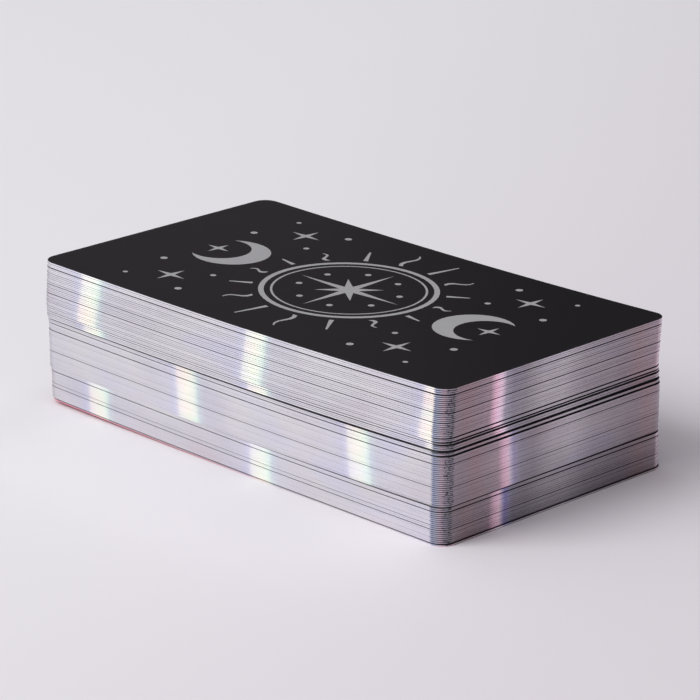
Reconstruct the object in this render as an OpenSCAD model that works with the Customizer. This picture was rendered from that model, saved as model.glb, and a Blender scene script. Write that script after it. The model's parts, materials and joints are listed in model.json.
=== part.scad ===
// Deck of tarot cards, stacked with the backs up in three packets that were put together by hand.
// X runs along the cards, Y across them and Z up from the table. All sizes are in millimetres.

/* [Card] */
// Length of a card
card_length = 120; // [100:1:140]
// Width of a card
card_width = 70; // [56:1:80]
// Thickness of a card with its laminate
card_thickness = 0.39; // [0.3:0.01:0.5]
// Radius of the four rounded corners
corner_radius = 3.5; // [2:0.5:8]

/* [Stack] */
// Air between two cards that lie on each other
air_gap = 0.02; // [0.015:0.001:0.05]
// How far out of square the deck lies: 0 is squared up
disorder = 1; // [0:0.1:1.5]
// Most that one card is out of line with its neighbours
jog = 0.03; // [0:0.01:0.1]

/* [Hidden] */
$fn = 64;
card_count = 78;
pitch = card_thickness + air_gap;

// Where the bottom card lies
start = [0.73, 0.6];

// Packets from the table up: first card, lean along X and Y from card to card, turn in degrees
packets = [
    [1, [0.010, -0.044], -0.70],
    [20, [0.0132, -0.0277], -0.35],
    [48, [0.0316, -0.0133], -0.05]
];

// Ledges: the card that sits back from the one beneath it, its step along X and Y, and the extra air under it
ledges = [
    [2, [-0.30, 0.04], 0.07], [9, [0, 0.10], 0.02], [11, [0, 0.06], 0.01], [18, [-0.10, 0.08], 0.04],
    [20, [-0.16, 0.06], 0.03], [30, [-0.05, 0.07], 0.02], [42, [-0.10, 0.12], 0.03], [46, [-0.20, 0.08], 0.10],
    [48, [-0.45, 0.22], 0.25], [51, [-0.22, 0.06], 0.10], [52, [-0.14, 0.05], 0.06], [54, [-0.14, 0.05], 0.06],
    [56, [-0.06, 0], 0], [62, [-0.06, 0.10], 0.02], [67, [-0.10, 0.10], 0.02], [72, [-0.06, 0.05], 0],
    [76, [-0.12, 0.14], 0.07]
];

// Runs of cards that keep together two by two: first and last card
pair_runs = [[3, 16], [22, 43]];

function packet_of(i) = i >= packets[2][0] ? packets[2] : i >= packets[1][0] ? packets[1] : packets[0];
function ledge_at(i) = [for (l = ledges) if (l[0] == i) l];
function step_of(i) = len(ledge_at(i)) > 0 ? ledge_at(i)[0][1] : [0, 0];
function extra_air_of(i) = len(ledge_at(i)) > 0 ? ledge_at(i)[0][2] : 0;
function place_of(i) = i == 1 ? start : place_of(i - 1) + packet_of(i)[1] + step_of(i);
function height_of(i) = i == 1 ? 0 : height_of(i - 1) + pitch + disorder * extra_air_of(i);
function jog_of(i) = jog * [sin(i * 137.5), cos(i * 222.3)];

// A card that lies on the lower half of its pair, which is drawn with it
function is_second(i) = len([for (r = pair_runs) if (i > r[0] && i <= r[1] && (i - r[0]) % 2 == 1) i]) > 0;
firsts = [for (i = [1 : card_count]) if (!is_second(i)) i];

function two_digits(i) = i < 10 ? str("0", i) : str(i);
function name_of(i) =
    i == 1 ? "bottom_card" :
    i == card_count ? "top_card" :
    is_second(i + 1) ? str("cards_", two_digits(i), "_", two_digits(i + 1)) :
    str("card_", two_digits(i));

NODES = [for (i = firsts) name_of(i)];

// Outline of a card: a rectangle with round corners
module card_outline() {
    square([card_length - 2 * corner_radius, card_width], center = true);
    square([card_length, card_width - 2 * corner_radius], center = true);
    for (x = [-1, 1], y = [-1, 1])
        translate([x * (card_length / 2 - corner_radius), y * (card_width / 2 - corner_radius)])
            circle(r = corner_radius);
}

// One card where it lies in the deck, counted from the table
module card(i) {
    lie = disorder * (place_of(i) + jog_of(i));
    translate([lie[0], lie[1], height_of(i)])
        rotate(disorder * packet_of(i)[2])
            linear_extrude(card_thickness)
                card_outline();
}

// A single card, or two that keep together
module cards(i) {
    color([0.16, 0.15, 0.17]) {
        card(i);
        if (is_second(i + 1)) card(i + 1);
    }
}

for (n = [0 : len(NODES) - 1])
    cards(firsts[n]);
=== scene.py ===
import json
import math

import bpy
import numpy as np
from mathutils import Matrix, Vector


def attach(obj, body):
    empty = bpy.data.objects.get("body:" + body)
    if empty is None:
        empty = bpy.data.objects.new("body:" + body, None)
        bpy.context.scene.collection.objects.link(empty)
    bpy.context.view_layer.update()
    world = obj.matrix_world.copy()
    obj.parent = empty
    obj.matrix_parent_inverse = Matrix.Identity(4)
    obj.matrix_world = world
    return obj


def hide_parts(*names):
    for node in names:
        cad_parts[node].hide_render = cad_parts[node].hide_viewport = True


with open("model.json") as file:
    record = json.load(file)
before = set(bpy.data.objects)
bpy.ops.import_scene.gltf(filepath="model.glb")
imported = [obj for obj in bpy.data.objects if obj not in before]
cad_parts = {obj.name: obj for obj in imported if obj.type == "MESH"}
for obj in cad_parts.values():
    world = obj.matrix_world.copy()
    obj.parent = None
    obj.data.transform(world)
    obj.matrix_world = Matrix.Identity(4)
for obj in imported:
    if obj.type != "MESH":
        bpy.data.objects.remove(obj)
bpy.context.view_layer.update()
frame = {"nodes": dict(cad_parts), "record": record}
MM = 0.001

# How the cards bend, in millimetres. The ends of the high cards stand up, by the square of the distance.
BOW = 1.51e-4
# The low cards curl off the table towards the left end.
CURL_HEIGHT = 0.77
CURL_START = 10.0
CURL_REACH = 64.0
CURL_POWER = 1.5
# Cards that lift themselves and all above them towards the right end, and lower them at the left.
LIFTS = {46: 0.06, 48: 0.14, 51: 0.10, 52: 0.05, 54: 0.05, 62: 0.02, 67: 0.02, 76: 0.05}
LIFT_START = -10.0
LIFT_REACH = 70.0
# From here up each card lies a little closer on the one beneath it, which takes the lift back.
SETTLING = 0.012
SETTLING_START = 52
# What the right end rises or sinks besides, as some cards' numbers and heights.
RIGHT_ENDS = (
    (1, 0.0), (20, 0.40), (47, 0.50), (48, 0.15), (50, 0.15), (51, -0.03),
    (52, -0.13), (53, -0.13), (54, -0.23), (66, -0.23), (78, 0.0),
)
RIGHT_START = 15.0
RIGHT_REACH = 45.0

# The ink stands this far above the back: on the top card it is thick enough to show its edge.
INK_HEIGHT = 0.0025
TOP_INK_HEIGHT = 0.012

# Steps of a card's outline, round each corner and along each long side, and what counts as a sharp edge.
CORNER_STEPS = 8
STRAIGHT_STEPS = 40
SHARP_ANGLE = math.radians(30)

# First card of the lower, the middle and the upper packet. Other values in threes follow that order too.
PACKET_STARTS = (1, 20, 48)

# Height of the dark rounded-over edge above the foil and of the foil's own turn beneath it.
UPPER_EDGE = (0.002, 0.002, 0.024)
LOWER_EDGE = (0.002, 0.002, 0.012)
# On the front corner the dark edge is higher, because the foil is worn there.
CORNER_EDGE = (0.110, 0.105, 0.115)
# Single cards with another dark edge: the outermost two, and those that show at a ledge.
SINGLE_EDGES = {
    1: 0.10, 8: 0.11, 10: 0.06, 17: 0.06, 19: 0.01, 29: 0.10, 41: 0.07, 45: 0.10, 47: 0.10, 50: 0.10,
    51: 0.03, 61: 0.09, 63: 0.06, 66: 0.08, 71: 0.04, 75: 0.08, 78: 0.07,
}
# The same on the right short side and on the front corner.
SHORT_EDGES = {
    1: 0.03, 17: 0.13, 19: 0.13, 29: 0.06, 41: 0.09, 45: 0.20, 47: 0.34, 50: 0.31, 51: 0.24, 53: 0.20,
    61: 0.05, 66: 0.06, 75: 0.05,
}
# The underside's turn is drawn in no further than this.
LOWER_INSET = 0.06
# The printed side of the bottom card shows along its lower edge, from the left end to here.
RED_EDGE = 0.24
RED_EDGE_END = 20.0
RED_EDGE_REACH = 80.0
RED_EDGE_POWER = 0.7
# On the right short side the bottom card's lower edge is dark: a painted contact shadow, made with the
# black of the back.
CONTACT_SHADOW_EDGE = 0.12
# How far the cards are pressed together.
PRESSED = (0.012, 0.012, 0.0)

# Lightness of the foil: painted light and shade of a packet, a random tone from card to card in it, and a
# painted highlight along the topmost cards' edges.
PACKET_PAINTED_LIGHT = (-0.04, -0.03, 0.03)
TONE_SPREAD = (0.010, 0.010, 0.032)
TOP_RUN = 3
TOP_PAINTED_HIGHLIGHT = 0.10
CHANCE_SEED = 78
# The bottom card's printed side takes the first of the inks, all over.
RED_INK = 0.0
# Painted light and shade on the short sides, as some cards' numbers and values, and a painted highlight on
# the right rear corner.
SHORT_SIDE_PAINTED_LIGHT = (
    (1, 0.70), (2, -0.08), (19, -0.08), (20, 0.05), (34, 0.19), (47, 0.19), (48, 0.15), (78, 0.15),
)
REAR_CORNER_PAINTED_HIGHLIGHT = (0.75, 0.0, 0.4)

# Strength of the fine lines, of the painted glow of the glint bands on the long and the short sides, and
# of the violet flank of the short sides' painted glint band.
LINES = (0.25, 0.25, 0.75)
LONG_GLINT_GLOW = (1.0, 1.0, 1.4)
SHORT_GLINT_GLOW = (0.75, 0.25, 1.0)
VIOLET = (1.0, 0.35, 0.0)

# Distance from band to band, and how many bands past the middle one a long side has.
LONG_PITCH = 50.5
SHORT_PITCH = 54.0
LAST_BAND = (0.86, 1.0, 1.2)
# Where the middle painted glint band crosses each side: on a packet's first card, and how it wanders from
# card to card.
BANDS = {
    "front": ((8.1, 0.0), (37.0, -0.03), (5.516, 0.046)),
    "right": ((-18.1, 0.0), (-15.6, -0.015), (-18.7, 0.0)),
    "back": ((-22.0, 0.0), (15.0, 0.0), (-9.0, 0.0)),
    "left": ((12.0, 0.0), (4.0, 0.0), (9.0, 0.0)),
}
# The lowest cards of the upper packet lie a little aside, and so does their band.
ASIDE_CARDS = range(48, 52)
ASIDE_BANDS = {"front": 7.6, "right": -17.6}

# Points of a packed card that differ in height by less than this lie on one of its faces.
SAME_HEIGHT = 0.002

# Slots of a card's mesh, in the order in which its finishes are assigned.
BACK, INK, EDGE, FACE = range(4)


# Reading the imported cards.

def outline_turn(points):
    """The longest straight run of a card's outline, as its length and the way it points."""
    middle = points.mean(axis=0)
    order = np.argsort(np.arctan2(points[:, 1] - middle[1], points[:, 0] - middle[0]))
    ring = points[order]
    runs = np.roll(ring, -1, axis=0) - ring
    lengths = np.hypot(runs[:, 0], runs[:, 1])
    longest = runs[np.argmax(lengths)]
    turn = math.atan2(longest[1], longest[0])
    if turn > math.pi / 2:
        turn -= math.pi
    if turn < -math.pi / 2:
        turn += math.pi
    return float(lengths.max()), turn


def cards_of(node):
    """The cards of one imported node, from the lowest up: place, turn and size of each, in millimetres."""
    mesh = frame["nodes"][node].data
    points = np.empty(len(mesh.vertices) * 3, np.float32)
    mesh.vertices.foreach_get("co", points)
    points = points.reshape(-1, 3).astype(float) / MM
    levels = np.unique(np.round(points[:, 2], 3))
    found = []
    for low, high in zip(levels[0::2], levels[1::2]):
        top = points[np.abs(points[:, 2] - high) < SAME_HEIGHT][:, :2]
        top = np.unique(np.round(top, 4), axis=0)
        run, turn = outline_turn(top)
        cos, sin = math.cos(turn), math.sin(turn)
        along = top @ np.array([cos, sin])
        across = top @ np.array([-sin, cos])
        middle_along = (along.max() + along.min()) / 2
        middle_across = (across.max() + across.min()) / 2
        found.append({
            "low": float(low),
            "high": float(high),
            "length": float(np.ptp(along)),
            "width": float(np.ptp(across)),
            "radius": float(np.ptp(along) - run) / 2,
            "turn": turn,
            "centre": np.array([
                cos * middle_along - sin * middle_across,
                sin * middle_along + cos * middle_across,
            ]),
        })
    return found


def numbered_cards():
    """Every node's cards, each with its number from the table, its packet, its own tone, which also
    carries painted light and shade, and ink.
    """
    by_node = {node: cards_of(node) for node in frame["nodes"]}
    every_card = [card for cards in by_node.values() for card in cards]
    in_order = sorted(every_card, key=lambda card: card["low"])
    chance = np.random.default_rng(CHANCE_SEED)
    for number, card in enumerate(in_order, start=1):
        packet = sum(number >= start for start in PACKET_STARTS) - 1
        card["number"] = number
        card["packet"] = packet
        card["is_bottom"] = number == 1
        card["is_top"] = number == len(in_order)
        card["share"] = (number - 1) / (len(in_order) - 1)
        card["tone"] = PACKET_PAINTED_LIGHT[packet] + float(chance.normal()) * TONE_SPREAD[packet]
        card["ink"] = float(chance.random())
    in_order[0]["ink"] = RED_INK
    for card in in_order[-TOP_RUN:]:
        card["tone"] += TOP_PAINTED_HIGHLIGHT
    return by_node, in_order


# The form of one card.

def by_number(table, card):
    """A card's value from a table that gives it for some cards, with even steps between them."""
    numbers, values = zip(*table)
    return float(np.interp(card["number"], numbers, values))


def rise(card, x):
    """How far a card stands above its flat place at x, because it bends."""
    bow = card["share"] * BOW * x ** 2
    curl = CURL_HEIGHT * (np.clip(CURL_START - x, 0, None) / CURL_REACH) ** CURL_POWER
    lift = sum(height for number, height in LIFTS.items() if card["number"] >= number)
    lift -= SETTLING * max(card["number"] - SETTLING_START, 0)
    lifted = 2 * np.clip((x - LIFT_START) / LIFT_REACH, 0, 1) ** 2 - 1
    right = by_number(RIGHT_ENDS, card) * (np.clip(x - RIGHT_START, 0, None) / RIGHT_REACH) ** 2
    return bow + (1 - card["share"]) * curl + lift * lifted + right


def placed(card, local, z):
    """Points of a card's own plane, moved to where the card lies and bent as it bends."""
    cos, sin = math.cos(card["turn"]), math.sin(card["turn"])
    x = card["centre"][0] + cos * local[:, 0] - sin * local[:, 1]
    y = card["centre"][1] + sin * local[:, 0] + cos * local[:, 1]
    return np.column_stack([x, y, z + rise(card, x)])


def stations(card, inset):
    """Outline points from the left end to the right: place along and across, and share of the turn."""
    count = 2 * CORNER_STEPS + STRAIGHT_STEPS + 1
    radius = card["radius"] - np.broadcast_to(inset, count)
    left_centre = card["radius"] - card["length"] / 2
    straight = np.linspace(left_centre, -left_centre, STRAIGHT_STEPS + 1)[1:-1]
    swing = np.linspace(math.pi / 2, 0, CORNER_STEPS + 1)
    round_end = np.ones(CORNER_STEPS + 1)
    no_turn = np.zeros(STRAIGHT_STEPS - 1)
    turn = np.concatenate([swing, no_turn, swing[::-1]])
    centre = np.concatenate([left_centre * round_end, straight, -left_centre * round_end])
    on_corner = np.concatenate([round_end, no_turn, round_end])
    x = centre + on_corner * np.sign(centre) * radius * np.sin(turn)
    y = card["width"] / 2 - card["radius"] + radius * np.cos(turn)
    return x, y, turn / (math.pi / 2)


def corner_share(turned):
    """One on the round of a corner and nought where a straight side begins."""
    return ((turned > 0.01) & (turned < 0.99)).astype(float)


def band_centre(card, side):
    """Where the middle painted glint band of the foil crosses one side of a card."""
    number = card["number"]
    if number in ASIDE_CARDS and side in ASIDE_BANDS:
        return ASIDE_BANDS[side]
    start, wander = BANDS[side][card["packet"]]
    return start + wander * (number - PACKET_STARTS[card["packet"]])


def band_places(card, x, y, turned, across):
    """Place along the foil of each outline point, counted in bands."""
    long_side = "front" if across < 0 else "back"
    along = (x - band_centre(card, long_side)) / LONG_PITCH
    along = np.minimum(along, LAST_BAND[card["packet"]])
    right = (across * y - band_centre(card, "right")) / SHORT_PITCH
    left = (across * y - band_centre(card, "left")) / SHORT_PITCH
    end = np.where(x > 0, right, left)
    return 0.5 + np.where(turned > 0.5, end, along)


class Sheet:
    """Points, faces and marks of a mesh while it is put together."""

    MARKS = ("band", "side", "corner", "front", "tone", "lines", "gleam", "shine", "violet", "ink")

    def __init__(self):
        self.points = []
        self.local = []
        self.marks = {name: [] for name in self.MARKS}
        self.faces = []
        self.slots = []
        self.count = 0

    def add_points(self, points, local, **marks):
        first = self.count
        self.points.append(points)
        self.local.append(local)
        for name in self.MARKS:
            values = np.broadcast_to(marks.get(name, 0.0), len(points))
            self.marks[name].append(values.astype(float))
        self.count += len(points)
        return first

    def add_face(self, corners, slot):
        self.faces.append(tuple(int(corner) for corner in corners))
        self.slots.append(slot)

    def mesh(self, name, finishes):
        mesh = bpy.data.meshes.new(name)
        points = np.concatenate(self.points) * MM
        mesh.from_pydata(points.tolist(), [], self.faces)
        for finish in finishes:
            mesh.materials.append(finish)
        mesh.polygons.foreach_set("material_index", self.slots)
        for mark, values in self.marks.items():
            layer = mesh.attributes.new(mark, "FLOAT", "POINT")
            layer.data.foreach_set("value", np.concatenate(values).astype(np.float32))
        local = np.concatenate(self.local)
        corners = np.empty(len(mesh.loops), np.int32)
        mesh.loops.foreach_get("vertex_index", corners)
        places = mesh.uv_layers.new(name="card_place")
        places.uv.foreach_set("vector", local[corners].astype(np.float32).ravel())
        mesh.polygons.foreach_set("use_smooth", [True] * len(mesh.polygons))
        mesh.set_sharp_from_angle(angle=SHARP_ANGLE)
        mesh.update()
        return mesh


def edge_heights(card, x, turned, front):
    """Height of the dark upper edge and of the lower turn at each outline point."""
    number, packet = card["number"], card["packet"]
    right_end = turned * (x > 0)
    long_edge = SINGLE_EDGES.get(number, UPPER_EDGE[packet])
    short_edge = SHORT_EDGES.get(number, long_edge)
    straight = long_edge * (1 - right_end) + short_edge * right_end
    on_corner = max(CORNER_EDGE[packet], SHORT_EDGES.get(number, 0.0))
    upper = straight * (1 - front) + on_corner * front
    lower = np.full(len(x), LOWER_EDGE[packet])
    if card["is_bottom"]:
        left_share = np.clip(RED_EDGE_END - x, 0, None) / RED_EDGE_REACH
        lower = lower + RED_EDGE * left_share ** RED_EDGE_POWER
        # Painted contact shadow at the right end of the bottom card.
        lower = lower + CONTACT_SHADOW_EDGE * right_end
    return upper, lower


def add_rings(sheet, card, across):
    """The outline on one side of the middle, at four heights: the first point of each, from the lowest."""
    packet = card["packet"]
    x, y, turned = stations(card, 0.0)
    corner = corner_share(turned)
    front = corner * (x > 0) * (across < 0)
    rear = corner * (x > 0) * (across > 0)
    upper, lower = edge_heights(card, x, turned, front)
    underside = card["low"] - (0.0 if card["is_bottom"] else PRESSED[packet])
    size = np.array([card["length"], card["width"]])
    # The tone carries painted light and shade: per packet, along the short sides, and a painted highlight
    # on the right rear corner.
    tone = card["tone"] + by_number(SHORT_SIDE_PAINTED_LIGHT, card) * turned + REAR_CORNER_PAINTED_HIGHLIGHT[packet] * rear
    firsts = []
    for inset, z in (
        (np.minimum(lower, LOWER_INSET), underside),
        (0.0, underside + lower),
        (0.0, card["high"] - upper),
        (upper, card["high"]),
    ):
        ring_x, ring_y, _ = stations(card, inset)
        local = np.column_stack([ring_x, across * ring_y])
        firsts.append(sheet.add_points(
            placed(card, local, z),
            local / size + 0.5,
            band=band_places(card, x, y, turned, across),
            side=turned,
            corner=corner,
            front=front,
            tone=tone,
            lines=LINES[packet],
            gleam=LONG_GLINT_GLOW[packet],
            shine=SHORT_GLINT_GLOW[packet],
            violet=VIOLET[packet],
            ink=card["ink"],
        ))
    return firsts


def add_card(sheet, card):
    """One card: back, dark edge, foil and printed face."""
    near = add_rings(sheet, card, -1)
    far = add_rings(sheet, card, 1)
    last = 2 * CORNER_STEPS + STRAIGHT_STEPS
    # On the bottom card the lower turn is the printed face, but its right end takes the black back as a
    # painted contact shadow.
    turn_slots = (FACE, BACK) if card["is_bottom"] else (EDGE, EDGE)
    for ring, (slot, right_slot) in enumerate((turn_slots, (EDGE, EDGE), (BACK, BACK))):
        near_low, near_high = near[ring], near[ring + 1]
        far_low, far_high = far[ring], far[ring + 1]
        for step in range(last):
            after = step + 1
            sheet.add_face((near_low + step, near_low + after, near_high + after, near_high + step), slot)
            sheet.add_face((far_low + after, far_low + step, far_high + step, far_high + after), slot)
        sheet.add_face((near_low + last, far_low + last, far_high + last, near_high + last), right_slot)
        sheet.add_face((far_low, near_low, near_high, far_high), slot)
    for step in range(last):
        after = step + 1
        sheet.add_face((near[0] + step, far[0] + step, far[0] + after, near[0] + after), FACE)
        sheet.add_face((near[3] + step, near[3] + after, far[3] + after, far[3] + step), BACK)


# The design printed on the backs: a sun wheel between two moons. Each shape is its points and its faces.

def around(count):
    """Points of a circle of radius one."""
    angles = np.arange(count) * 2 * math.pi / count
    return np.column_stack([np.cos(angles), np.sin(angles)])


def ring_stroke(radius, width, steps):
    way = around(steps)
    points = np.concatenate([way * (radius - width / 2), way * (radius + width / 2)])
    faces = []
    for step in range(steps):
        after = (step + 1) % steps
        faces.append((step, steps + step, steps + after, after))
    return points, faces


def dot(centre, radius, steps=10):
    return around(steps) * radius + np.array(centre), [tuple(range(steps))]


def sparkle(centre, long_reach, short_reach, waist, steps=4):
    """A star with four long points, shorter ones between them where they are given, and a narrow waist."""
    reaches = 4 * [long_reach, short_reach] if short_reach else 4 * [long_reach]
    wedge = 2 * math.pi / len(reaches)
    points = []
    faces = []
    for number, reach in enumerate(reaches):
        angle = number * wedge
        tip = reach * np.array([math.cos(angle), math.sin(angle)])
        right = waist * np.array([math.cos(angle - wedge / 2), math.sin(angle - wedge / 2)])
        left = waist * np.array([math.cos(angle + wedge / 2), math.sin(angle + wedge / 2)])
        for step in range(steps):
            row = len(points)
            points.append(right + (tip - right) * step / steps)
            points.append(left + (tip - left) * step / steps)
            faces.append((row, row + 2, row + 3, row + 1) if step < steps - 1 else (row, row + 2, row + 1))
        points.append(tip)
    faces.append(tuple(range(0, len(points), 2 * steps + 1)))
    return np.array(points) + np.array(centre), faces


def ray(angle, start, end, start_width, end_width, sway, steps=6):
    """A ray of the wheel, which tapers outward and may sway from side to side."""
    share = np.linspace(0, 1, steps + 1)
    radius = start + (end - start) * share
    width = start_width + (end_width - start_width) * share
    offset = sway * np.sin(share * 2 * math.pi)
    way = np.array([math.cos(angle), math.sin(angle)])
    side = np.array([-way[1], way[0]])
    middle = radius[:, None] * way + offset[:, None] * side
    half = width[:, None] / 2 * side
    points = np.concatenate([middle - half, middle + half])
    right = steps + 1
    return points, [(step, step + 1, right + step + 1, right + step) for step in range(steps)]


def crescent(centre, radius, bite_shift, bite_radius, facing, steps=22):
    """A moon: the outer round on one side and the round of the bite on the other, tip to tip."""
    reach = (radius ** 2 - bite_radius ** 2 + bite_shift ** 2) / (2 * bite_shift)
    tip = math.acos(reach / radius)
    bite_tip = math.atan2(radius * math.sin(tip), reach - bite_shift)
    outer = np.linspace(tip, 2 * math.pi - tip, steps + 1)
    inner = np.linspace(bite_tip, 2 * math.pi - bite_tip, steps + 1)
    outer_points = radius * np.column_stack([np.cos(outer), np.sin(outer)])
    inner_points = bite_radius * np.column_stack([np.cos(inner), np.sin(inner)])
    inner_points = inner_points + np.array([bite_shift, 0])
    points = np.concatenate([outer_points, inner_points]) * np.array([facing, 1.0]) + np.array(centre)
    second = steps + 1
    return points, [(step, step + 1, second + step + 1, second + step) for step in range(steps)]


# Sizes of the design, in millimetres.
WHEEL_RINGS = ((19.0, 1.2, 56), (16.8, 0.5, 52))
WHEEL_STAR = (14.4, 7.6, 2.3)
RAY_COUNT = 16
RAY_START = 21.2
RAY_REACH = 30.5
RAY_SHORTENING = 5.0
RAY_WIDTHS = (1.1, 0.4)
RAY_SWAY = 0.7
STUD_COUNT = 8
STUD_RADIUS = 0.75
STUD_REACH = 11.6
MOON_REACH = 36.0
MOON_SIZES = (8.8, 3.6, 7.0)
MOON_STAR_REACH = 40.2
MOON_STAR = (3.2, 0, 0.8)
SIDE_STAR_PLACE = (33.5, 21.0)
SIDE_STAR = (4.2, 0, 0.9)
SIDE_DOTS = ((27.0, 14.5, 0.7), (43.0, 14.0, 0.85), (25.5, 26.5, 0.85), (41.5, 27.0, 0.6))


def back_design():
    shapes = [ring_stroke(*ring) for ring in WHEEL_RINGS]
    shapes.append(sparkle((0, 0), *WHEEL_STAR))
    for step in range(RAY_COUNT):
        angle = (step + 0.5) * 2 * math.pi / RAY_COUNT
        reach = RAY_REACH - RAY_SHORTENING * abs(math.cos(angle))
        shapes.append(ray(angle, RAY_START, reach, *RAY_WIDTHS, 0.0 if step % 2 else RAY_SWAY))
    for step in range(STUD_COUNT):
        angle = (step + 0.5) * 2 * math.pi / STUD_COUNT
        shapes.append(dot((STUD_REACH * math.cos(angle), STUD_REACH * math.sin(angle)), STUD_RADIUS))
    for facing in (1, -1):
        shapes.append(crescent((facing * MOON_REACH, 0), *MOON_SIZES, facing))
        shapes.append(sparkle((facing * MOON_STAR_REACH, 0), *MOON_STAR))
        for across in (1, -1):
            star_x, star_y = SIDE_STAR_PLACE
            shapes.append(sparkle((facing * star_x, across * star_y), *SIDE_STAR))
            for dot_x, dot_y, radius in SIDE_DOTS:
                shapes.append(dot((facing * dot_x, across * dot_y), radius))
    return shapes


def add_print(sheet, card, shapes):
    """The back's design, laid on the card as a thin film of ink."""
    size = np.array([card["length"], card["width"]])
    film = TOP_INK_HEIGHT if card["is_top"] else INK_HEIGHT
    for points, faces in shapes:
        first = sheet.add_points(
            placed(card, points, card["high"] + film),
            points / size + 0.5,
            tone=card["tone"],
            ink=card["ink"],
        )
        for face in faces:
            x, y = points[list(face)].T
            area = np.sum(x * np.roll(y, -1) - np.roll(x, -1) * y)
            order = face if area > 0 else face[::-1]
            sheet.add_face([first + corner for corner in order], INK)


# Finishes.

class Level:
    """A number that varies over a surface. Sums on it add Math nodes."""

    def __init__(self, nodes, socket):
        self.nodes = nodes
        self.socket = socket

    def math(self, operation, first, second=0.0):
        made = self.nodes.node("ShaderNodeMath", {"operation": operation}, {0: first, 1: second})
        return Level(self.nodes, made.outputs[0])

    def __add__(self, other):
        return self.math("ADD", self, other)

    def __radd__(self, other):
        return self.math("ADD", other, self)

    def __sub__(self, other):
        return self.math("SUBTRACT", self, other)

    def __rsub__(self, other):
        return self.math("SUBTRACT", other, self)

    def __mul__(self, other):
        return self.math("MULTIPLY", self, other)

    def __rmul__(self, other):
        return self.math("MULTIPLY", other, self)

    def __pow__(self, other):
        return self.math("POWER", self, other)

    def __abs__(self):
        return self.math("ABSOLUTE", self)

    def fraction(self):
        return self.math("FRACT", self)

    def least(self, other):
        return self.math("MINIMUM", self, other)

    def most(self, other):
        return self.math("MAXIMUM", self, other)

    def sine(self):
        return self.math("SINE", self)


class Nodes:
    """The nodes of a finish or of the room's light, laid down one call at a time."""

    def __init__(self, tree):
        self.tree = tree

    def feed(self, socket, value):
        if isinstance(value, Level):
            self.tree.links.new(value.socket, socket)
        elif isinstance(value, bpy.types.NodeSocket):
            self.tree.links.new(value, socket)
        else:
            socket.default_value = value

    def node(self, kind, settings=None, sockets=None):
        made = self.tree.nodes.new(kind)
        for name, value in (settings or {}).items():
            if name == "stops":
                ramp = made.color_ramp.elements
                while len(ramp) < len(value):
                    ramp.new(0.5)
                for element, (position, colour) in zip(ramp, value):
                    element.position = position
                    element.color = (*colour, 1.0)
            else:
                setattr(made, name, value)
        for name, value in (sockets or {}).items():
            self.feed(made.inputs[name], value)
        return made

    def level(self, kind, settings=None, sockets=None, output=0):
        return Level(self, self.node(kind, settings, sockets).outputs[output])

    def colour(self, kind, settings=None, sockets=None, output=0):
        return self.node(kind, settings, sockets).outputs[output]

    def mark(self, name):
        return self.level("ShaderNodeAttribute", {"attribute_name": name}, output="Fac")

    def place(self, scale=(1.0, 1.0, 1.0)):
        start = self.colour("ShaderNodeTexCoord", output="Object")
        return self.colour("ShaderNodeVectorMath", {"operation": "MULTIPLY"}, {0: start, 1: scale})

    def apart(self, vector):
        made = self.node("ShaderNodeSeparateXYZ", {}, {0: vector})
        return [Level(self, made.outputs[axis]) for axis in "XYZ"]

    def toward(self, vector, way):
        sockets = {0: vector, 1: way}
        return self.level("ShaderNodeVectorMath", {"operation": "DOT_PRODUCT"}, sockets, "Value")

    def noise(self, scale, place=None, detail=2.0, roughness=0.5):
        sockets = {
            "Vector": place if place is not None else self.place(),
            "Scale": scale,
            "Detail": detail,
            "Roughness": roughness,
        }
        return self.level("ShaderNodeTexNoise", {}, sockets, "Fac")

    def eased(self, value, low, high):
        settings = {"interpolation_type": "SMOOTHSTEP"}
        sockets = {"Value": value, "From Min": low, "From Max": high}
        return self.level("ShaderNodeMapRange", settings, sockets, "Result")

    def ramp(self, value, stops):
        return self.colour("ShaderNodeValToRGB", {"stops": stops}, {"Fac": value}, "Color")

    def mix(self, share, first, second, blend="MIX"):
        settings = {"data_type": "RGBA", "blend_type": blend}
        return self.colour("ShaderNodeMix", settings, {0: share, 6: first, 7: second}, 2)

    def dimmed(self, colour, amount):
        return self.colour("ShaderNodeVectorMath", {"operation": "SCALE"}, {0: colour, "Scale": amount})


def new_finish(name):
    material = bpy.data.materials.new(name)
    material.use_nodes = True
    nodes = Nodes(material.node_tree)
    shader = material.node_tree.nodes["Principled BSDF"]
    return material, nodes, shader


def grain(nodes, shader, height, depth, strength):
    sockets = {"Height": height, "Distance": depth, "Strength": strength}
    nodes.feed(shader.inputs["Normal"], nodes.colour("ShaderNodeBump", {}, sockets, "Normal"))


def card_place(nodes, card):
    """Place along and across a card, from nought to one, and the distance to its rim in millimetres."""
    along, across, _ = nodes.apart(nodes.colour("ShaderNodeUVMap", {"uv_map": "card_place"}))
    from_ends = (0.5 - abs(along - 0.5)) * card["length"]
    from_sides = (0.5 - abs(across - 0.5)) * card["width"]
    return along, across, from_ends.least(from_sides)


BACK_DARK = (0.0030, 0.0026, 0.0032, 1)
BACK_LIGHT = (0.0044, 0.0036, 0.0046, 1)
RUBBED_GREY = (0.060, 0.057, 0.064, 1)
# Where the rubbed strip begins, is strongest and ends, in millimetres from the rim.
RUBBED_STRIP = (0.12, 0.18, 0.7)
RUBBED_SHARE = 0.5


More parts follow.
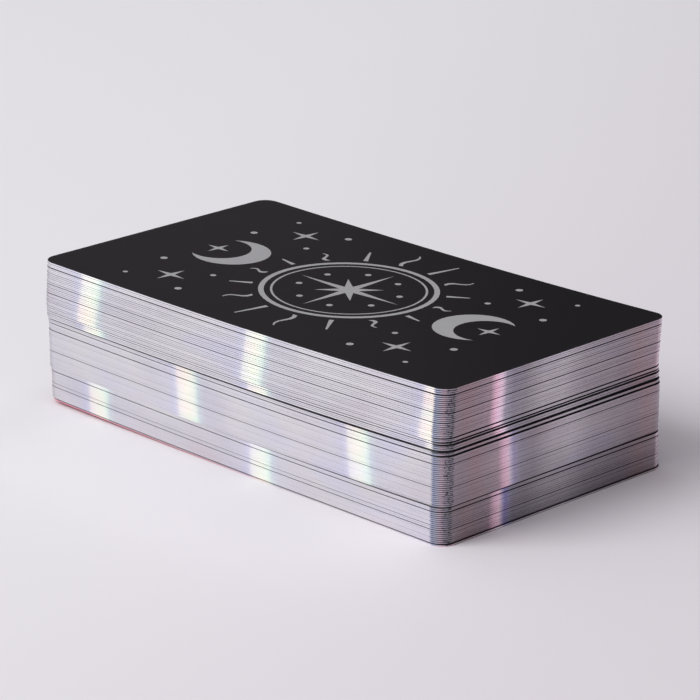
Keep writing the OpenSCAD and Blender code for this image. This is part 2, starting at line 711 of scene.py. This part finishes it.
def laminated_black(card):
    """The matt laminated back: near black, a faint grain, rubbed a little grey beside the rim."""
    material, nodes, shader = new_finish("laminated_black")
    cloud = nodes.noise(45.0, detail=3.0)
    fine = nodes.noise(5200.0)
    _, _, rim = card_place(nodes, card)
    begin, strongest, end = RUBBED_STRIP
    near_rim = nodes.eased(rim, begin, strongest) * (1 - nodes.eased(rim, strongest, end))
    rubbed = near_rim * nodes.eased(nodes.noise(900.0), 0.45, 0.75)
    black = nodes.mix(cloud, BACK_DARK, BACK_LIGHT)
    nodes.feed(shader.inputs["Base Color"], nodes.mix(rubbed * RUBBED_SHARE, black, RUBBED_GREY))
    nodes.feed(shader.inputs["Roughness"], 0.30 + 0.06 * cloud + 0.06 * (fine - 0.5))
    shader.inputs["Specular IOR Level"].default_value = 0.22
    grain(nodes, shader, fine, 0.000012, 0.25)
    return material


INK_DARK = (0.360, 0.360, 0.370, 1)
INK_LIGHT = (0.440, 0.440, 0.450, 1)


def silver_ink():
    """The pale grey ink of the design, with a little metal in it and a broken, grainy film."""
    material, nodes, shader = new_finish("silver_ink")
    fine = nodes.noise(6500.0)
    cloud = nodes.noise(160.0, detail=3.0)
    nodes.feed(shader.inputs["Base Color"], nodes.mix(cloud * 0.6 + fine * 0.4, INK_DARK, INK_LIGHT))
    nodes.feed(shader.inputs["Roughness"], 0.42 + 0.12 * fine)
    shader.inputs["Metallic"].default_value = 0.15
    shader.inputs["Specular IOR Level"].default_value = 0.3
    grain(nodes, shader, fine, 0.000006, 0.2)
    return material


# The foil on the long sides, from one band to the next, with a painted glint in the bright band, and the
# painted glow of that band, given off though the foil is no lamp.
NO_LIGHT = (0.0, 0.0, 0.0)
LONG_FOIL_WITH_GLINT = (
    (0.000, (0.785, 0.786, 0.808)),
    (0.140, (0.800, 0.790, 0.815)),
    (0.300, (0.785, 0.780, 0.828)),
    (0.375, (0.780, 0.776, 0.845)),
    (0.408, (0.765, 0.772, 0.895)),
    (0.430, (0.830, 0.840, 0.950)),
    (0.446, (0.920, 0.905, 0.935)),
    (0.472, (0.985, 0.955, 0.925)),
    (0.500, (0.985, 0.985, 0.900)),
    (0.532, (0.930, 0.990, 0.910)),
    (0.556, (0.845, 0.960, 0.920)),
    (0.577, (0.780, 0.860, 0.890)),
    (0.605, (0.770, 0.780, 0.828)),
    (0.700, (0.785, 0.780, 0.824)),
    (0.800, (0.800, 0.795, 0.818)),
    (1.000, (0.785, 0.786, 0.808)),
)
LONG_GLINT = (
    (0.000, NO_LIGHT),
    (0.430, NO_LIGHT),
    (0.452, (0.80, 0.76, 0.76)),
    (0.502, (1.0, 0.98, 0.85)),
    (0.540, (0.82, 0.95, 0.82)),
    (0.570, NO_LIGHT),
    (1.000, NO_LIGHT),
)
# The same on the short sides, which are painted much darker than the long sides as painted shade, and
# where the painted glint band is rose with a violet flank.
SHORT_FOIL_SHADED_WITH_GLINT = (
    (0.000, (0.430, 0.400, 0.430)),
    (0.120, (0.375, 0.345, 0.375)),
    (0.240, (0.350, 0.305, 0.335)),
    (0.320, (0.395, 0.305, 0.320)),
    (0.400, (0.410, 0.345, 0.375)),
    (0.448, (0.490, 0.385, 0.430)),
    (0.478, (0.820, 0.570, 0.680)),
    (0.502, (0.950, 0.680, 0.800)),
    (0.518, (0.800, 0.700, 0.790)),
    (0.540, (0.500, 0.480, 0.560)),
    (0.580, (0.375, 0.360, 0.415)),
    (0.650, (0.385, 0.360, 0.395)),
    (0.760, (0.545, 0.520, 0.550)),
    (0.870, (0.575, 0.550, 0.580)),
    (1.000, (0.430, 0.400, 0.430)),
)
SHORT_GLINT = (
    (0.000, NO_LIGHT),
    (0.448, NO_LIGHT),
    (0.482, (0.90, 0.54, 0.68)),
    (0.505, (1.00, 0.72, 0.86)),
    (0.540, NO_LIGHT),
    (1.000, NO_LIGHT),
)
VIOLET_FLANK = (
    (0.000, NO_LIGHT),
    (0.508, NO_LIGHT),
    (0.535, (0.85, 0.85, 0.85)),
    (0.575, NO_LIGHT),
    (1.000, NO_LIGHT),
)
VIOLET_FOIL = (0.370, 0.330, 0.700, 1)
# Round the front corner, from the long side to the short one: painted light turning into painted shade as
# the corner turns from the lit long side to the shaded short one.
CORNER_FOIL_LIGHT_AND_SHADE = (
    (0.00, (0.720, 0.730, 0.800)),
    (0.14, (0.470, 0.535, 0.730)),
    (0.30, (0.560, 0.580, 0.690)),
    (0.46, (0.710, 0.560, 0.630)),
    (0.60, (0.480, 0.450, 0.520)),
    (0.78, (0.360, 0.345, 0.390)),
    (1.00, (0.420, 0.385, 0.420)),
)
# Tints that drift over the foil and over the bands.
PATCH_TINT = (
    (0.28, (1.0, 0.925, 0.950)),
    (0.42, (0.970, 0.950, 0.980)),
    (0.56, (1.0, 0.985, 0.985)),
    (0.72, (0.915, 0.915, 1.0)),
)
BAND_TINT = (
    (0.30, (1.0, 0.935, 0.905)),
    (0.44, (1.0, 0.985, 0.955)),
    (0.56, (0.930, 1.0, 0.940)),
    (0.70, (0.930, 0.960, 1.0)),
)
# How strongly each of these shows: the corner's darkening is painted shade, and the bands' glow is painted
# light.
BAND_WAVER = 0.014
LINE_SHARE = 0.14
SPECK_SHARE = 0.22
PATCH_SHARE = 0.30
CHIP_SHARE = 0.75
CORNER_SHADE = 0.18
PAINTED_BAND_GLOW = 0.19


def foil_edge():
    """Silver foil on the cut edges: painted glint bands with coloured flanks that glow, short sides
    painted darker as shade, fine lines, a chipped front corner painted darker as shade.
    """
    material, nodes, shader = new_finish("foil_edge")
    side = nodes.mark("side")
    corner = nodes.mark("corner")
    front = nodes.mark("front")
    waver = nodes.noise(160.0, nodes.place((0.15, 0.15, 1.0)), detail=3.0)
    streaks = nodes.noise(60.0, nodes.place((1.0, 1.0, 90.0)), detail=4.0, roughness=0.65)
    specks = nodes.noise(2600.0, nodes.place((1.0, 1.0, 0.8)))
    patches = nodes.noise(38.0, nodes.place((1.0, 1.0, 2.0)))
    hue = nodes.noise(190.0, nodes.place((0.25, 0.25, 1.0)), detail=1.0)
    chips = nodes.noise(1500.0, nodes.place((1.0, 1.0, 1.6)), roughness=0.7)

    band = (nodes.mark("band") + BAND_WAVER * (waver - 0.5)).fraction()
    violet = Level(nodes, nodes.ramp(band, VIOLET_FLANK)) * nodes.mark("violet")
    shaded_short_side = nodes.mix(violet, nodes.ramp(band, SHORT_FOIL_SHADED_WITH_GLINT), VIOLET_FOIL)
    band_tint = nodes.ramp(hue, BAND_TINT)
    glint = nodes.ramp(band, LONG_GLINT)
    long_side = nodes.mix(glint, nodes.ramp(band, LONG_FOIL_WITH_GLINT), band_tint, "MULTIPLY")
    straight = nodes.mix(side, long_side, shaded_short_side)
    foil = nodes.mix(front, straight, nodes.ramp(side, CORNER_FOIL_LIGHT_AND_SHADE))
    foil = nodes.mix(1.0, foil, nodes.ramp(patches, PATCH_TINT), "MULTIPLY")

    chipped = front * nodes.eased(side, 0.42, 0.62) * nodes.eased(chips, 0.54, 0.62)
    # Painted light and shade come in through the tone mark, and the front corner is painted darker
    # besides.
    light = 1.0 + nodes.mark("tone") + LINE_SHARE * nodes.mark("lines") * (streaks - 0.5)
    light = light + SPECK_SHARE * (specks - 0.5) * (0.25 + side) + PATCH_SHARE * (patches - 0.5)
    light = light * (1 - CHIP_SHARE * chipped) * (1 - CORNER_SHADE * front)
    nodes.feed(shader.inputs["Base Color"], nodes.dimmed(foil, light))
    nodes.feed(shader.inputs["Roughness"], 0.27 + 0.12 * streaks + 0.10 * corner.most(side))
    shader.inputs["Metallic"].default_value = 1.0

    # The glint bands also glow: painted light, given off though the foil is no lamp.
    long_glow = nodes.dimmed(nodes.mix(1.0, glint, band_tint, "MULTIPLY"), nodes.mark("gleam"))
    short_glow = nodes.dimmed(nodes.ramp(band, SHORT_GLINT), nodes.mark("shine"))
    glow = nodes.mix(side, long_glow, short_glow)
    nodes.feed(shader.inputs["Emission Color"], nodes.dimmed(glow, 1 - corner))
    shader.inputs["Emission Strength"].default_value = PAINTED_BAND_GLOW
    grain(nodes, shader, streaks, 0.00002, 0.15)
    return material


# The inks of the printed sides, of which each card takes its main one, and the picture's sizes in mm.
FACE_INKS = (
    (0.00, (0.780, 0.250, 0.330)),
    (0.14, (0.620, 0.230, 0.270)),
    (0.30, (0.640, 0.430, 0.170)),
    (0.48, (0.210, 0.420, 0.330)),
    (0.66, (0.150, 0.320, 0.520)),
    (0.84, (0.300, 0.210, 0.470)),
    (1.00, (0.560, 0.330, 0.420)),
)
FACE_BORDER = 4.0
FACE_LINE = 0.5
SOFT_RIM = 0.1
DISC_RADIUS = 12.0
DISC_RIM = 0.4
DISC_PLACE = (0.66, 0.5)
DISC_CREAM = (0.90, 0.84, 0.70, 1)
HORIZON_PINK = (0.86, 0.78, 0.72, 1)
LINE_BLACK = (0.10, 0.09, 0.10, 1)
BORDER_IVORY = (0.80, 0.775, 0.74, 1)


def printed_face(card):
    """The printed side: a pale border, a fine line inside it and a coloured sky over hills, matt."""
    material, nodes, shader = new_finish("printed_face")
    up, across, rim = card_place(nodes, card)
    ink = nodes.mark("ink")
    main = nodes.ramp(ink, FACE_INKS)
    sky = nodes.mix(nodes.eased(up, 0.25, 0.95), HORIZON_PINK, main)
    hill = 0.30 + 0.07 * (across * 7.0 + ink * 6.0).sine() + 0.03 * (across * 17.0).sine()
    picture = nodes.mix(nodes.eased(hill - up, 0.0, 0.01), sky, nodes.dimmed(main, 0.35))
    disc_up, disc_across = DISC_PLACE
    reach_up = (up - disc_up) * card["length"]
    reach_across = (across - disc_across) * card["width"]
    reach = (reach_up ** 2.0 + reach_across ** 2.0) ** 0.5
    disc = 1 - nodes.eased(reach, DISC_RADIUS - DISC_RIM, DISC_RADIUS)
    picture = nodes.mix(disc, picture, DISC_CREAM)
    inside_line = nodes.eased(rim, FACE_BORDER + FACE_LINE - SOFT_RIM, FACE_BORDER + FACE_LINE)
    framed = nodes.mix(inside_line, LINE_BLACK, picture)
    inside_border = nodes.eased(rim, FACE_BORDER - SOFT_RIM, FACE_BORDER)
    bordered = nodes.mix(inside_border, BORDER_IVORY, framed)
    flooded = nodes.mix(1 - nodes.eased(ink, RED_INK, RED_INK + 0.001), bordered, main)
    fine = nodes.noise(4200.0)
    nodes.feed(shader.inputs["Base Color"], nodes.dimmed(flooded, 0.95 + 0.10 * fine))
    nodes.feed(shader.inputs["Roughness"], 0.48 + 0.10 * fine)
    shader.inputs["Specular IOR Level"].default_value = 0.3
    grain(nodes, shader, fine, 0.000012, 0.25)
    return material


# The deck.

by_node, in_order = numbered_cards()
finishes = [laminated_black(in_order[0]), silver_ink(), foil_edge(), printed_face(in_order[0])]
design = back_design()
bodies = frame["record"]["behaviour"]["bodies"]
node_bodies = {node: body for body, nodes in bodies.items() for node in nodes}
for node, cards in by_node.items():
    sheet = Sheet()
    for card in cards:
        add_card(sheet, card)
        add_print(sheet, card, design)
    piece = bpy.data.objects.new(f"{node}_printed", sheet.mesh(f"{node}_printed", finishes))
    bpy.context.scene.collection.objects.link(piece)
    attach(piece, node_bodies[node])
    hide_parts(node)


# The room, in metres: a pale table top with painted light and shade, a wide soft lamp at the left, and
# walls darker behind the deck.

TABLE_RADIUS = 6.0
TABLE_RINGS = 12
TABLE_STEPS = 64
# The paper is painted lighter towards the lamp and darker away from it: painted light and shade.
PAPER_PAINTED_LIT = (0.828, 0.821, 0.842, 1)
PAPER_PAINTED_SHADED = (0.742, 0.706, 0.746, 1)
AWAY_FROM_LAMP = (0.96, 0.43, 0.0)
TONE_REACH = 0.14
# Painted shade: the paper is painted a little darker in front of the long side, where the foil throws
# light on it.
SHADE = 0.135
SHADE_LEFT = (-0.072, -0.050)
SHADE_RIGHT = (0.020, 0.065)
SHADE_START = (0.0, 0.030)
SHADE_END = (0.036, 0.074)


def pale_table():
    """Pale matt paper, painted a little lighter towards the lamp and painted darker in front of the deck's
    long side.
    """
    material, nodes, shader = new_finish("pale_table")
    cloud = nodes.noise(3.0, detail=3.0)
    tooth = nodes.noise(900.0)
    away = nodes.toward(nodes.place(), AWAY_FROM_LAMP)
    tone = nodes.mix(nodes.eased(away, -TONE_REACH, TONE_REACH), PAPER_PAINTED_LIT, PAPER_PAINTED_SHADED)
    along, across, _ = nodes.apart(nodes.place())
    ahead = 0.0 - across
    beside = nodes.eased(along, *SHADE_LEFT) * (1 - nodes.eased(along, *SHADE_RIGHT))
    before = nodes.eased(ahead, *SHADE_START) * (1 - nodes.eased(ahead, *SHADE_END))
    light = (0.98 + 0.04 * cloud) * (1 - SHADE * beside * before)
    nodes.feed(shader.inputs["Base Color"], nodes.dimmed(tone, light))
    nodes.feed(shader.inputs["Roughness"], 0.72 + 0.10 * tooth)
    shader.inputs["Specular IOR Level"].default_value = 0.15
    grain(nodes, shader, tooth, 0.00002, 0.1)
    return material


def round_table():
    points = [(0.0, 0.0, 0.0)]
    faces = []
    for ring in range(1, TABLE_RINGS + 1):
        reach = TABLE_RADIUS * (ring / TABLE_RINGS) ** 2
        for x, y in around(TABLE_STEPS) * reach:
            points.append((x, y, 0.0))
    for step in range(TABLE_STEPS):
        after = (step + 1) % TABLE_STEPS
        faces.append((0, 1 + step, 1 + after))
        for ring in range(1, TABLE_RINGS):
            inner = 1 + (ring - 1) * TABLE_STEPS
            outer = inner + TABLE_STEPS
            faces.append((inner + step, outer + step, outer + after, inner + after))
    mesh = bpy.data.meshes.new("table_top")
    mesh.from_pydata(points, [], faces)
    mesh.materials.append(pale_table())
    return mesh


table = bpy.data.objects.new("table_top", round_table())
bpy.context.scene.collection.objects.link(table)


def soft_lamp(name, place, aim, size, power, colour):
    lamp = bpy.data.lights.new(name, "AREA")
    lamp.shape = "RECTANGLE"
    lamp.size, lamp.size_y = size
    lamp.energy = power
    lamp.color = colour
    holder = bpy.data.objects.new(name, lamp)
    holder.location = place
    holder.rotation_euler = (Vector(aim) - Vector(place)).to_track_quat("-Z", "Y").to_euler()
    bpy.context.scene.collection.objects.link(holder)


soft_lamp(
    "window_lamp",
    place=(-0.84, -1.88, 1.96),
    aim=(0.0, 0.0, 0.0),
    size=(1.6, 1.6),
    power=49.0,
    colour=(1.0, 0.99, 1.0),
)
soft_lamp(
    "far_panel",
    place=(-1.2, 0.70, 0.20),
    aim=(0.0, 0.0, 0.03),
    size=(0.9, 0.3),
    power=0.34,
    colour=(1.0, 0.80, 1.0),
)

# Light of the walls, from the darkest side to the brightest, and of the ceiling above them.
BRIGHT_WALL = (-0.33, -0.86, 0.39)
WALLS = (
    (0.00, (0.050, 0.048, 0.052)),
    (0.42, (0.075, 0.072, 0.078)),
    (0.64, (0.460, 0.450, 0.465)),
    (1.00, (0.950, 0.940, 0.955)),
)
CEILING = (0.20, 0.195, 0.205, 1)
CEILING_START = 0.52
CEILING_END = 0.92


def light_room():
    world = bpy.data.worlds.new("room_light")
    world.use_nodes = True
    bpy.context.scene.world = world
    nodes = Nodes(world.node_tree)
    way = nodes.colour("ShaderNodeTexCoord", output="Generated")
    walls = nodes.ramp(nodes.toward(way, BRIGHT_WALL) * 0.5 + 0.5, WALLS)
    _, _, height = nodes.apart(way)
    ceiling = nodes.mix(nodes.eased(height, CEILING_START, CEILING_END), (*NO_LIGHT, 1), CEILING)
    backdrop = world.node_tree.nodes["Background"]
    nodes.feed(backdrop.inputs["Color"], nodes.mix(1.0, walls, ceiling, "ADD"))
    backdrop.inputs["Strength"].default_value = 1.0


light_room()


# The camera, which is placed from a point above the middle of the top card.

VIEW_AZIMUTH = math.radians(43.1776)
VIEW_HEIGHT = math.radians(18.8148)
VIEW_ROLL = math.radians(1.2758)
VIEW_LENS = 186.04
# Height of that point above the card, and how far it lies right of the camera, down and ahead, in mm.
VIEW_POINT_HEIGHT = 0.25
VIEW_PLACE = Vector((-0.1827, -13.3212, 778.5199)) * MM


def deck_camera(point):
    back = Vector((
        math.sin(VIEW_AZIMUTH) * math.cos(VIEW_HEIGHT),
        -math.cos(VIEW_AZIMUTH) * math.cos(VIEW_HEIGHT),
        math.sin(VIEW_HEIGHT),
    ))
    ahead = -back
    level_right = ahead.cross(Vector((0, 0, 1))).normalized()
    level_down = ahead.cross(level_right)
    cos, sin = math.cos(VIEW_ROLL), math.sin(VIEW_ROLL)
    right = cos * level_right - sin * level_down
    down = sin * level_right + cos * level_down
    place = point - (VIEW_PLACE.x * right + VIEW_PLACE.y * down + VIEW_PLACE.z * ahead)
    camera = bpy.data.cameras.new("deck_camera")
    camera.lens = VIEW_LENS
    camera.sensor_width = 36.0
    camera.sensor_fit = "HORIZONTAL"
    camera.clip_start = 0.01
    camera.clip_end = 50.0
    holder = bpy.data.objects.new("deck_camera", camera)
    turn = Matrix((right, -down, back)).transposed().to_4x4()
    holder.matrix_world = Matrix.Translation(place) @ turn
    bpy.context.scene.collection.objects.link(holder)
    return holder


view_point = Vector((0.0, 0.0, (in_order[-1]["high"] + VIEW_POINT_HEIGHT) * MM))
bpy.context.scene.camera = deck_camera(view_point)
bpy.context.scene.view_settings.view_transform = "Standard"
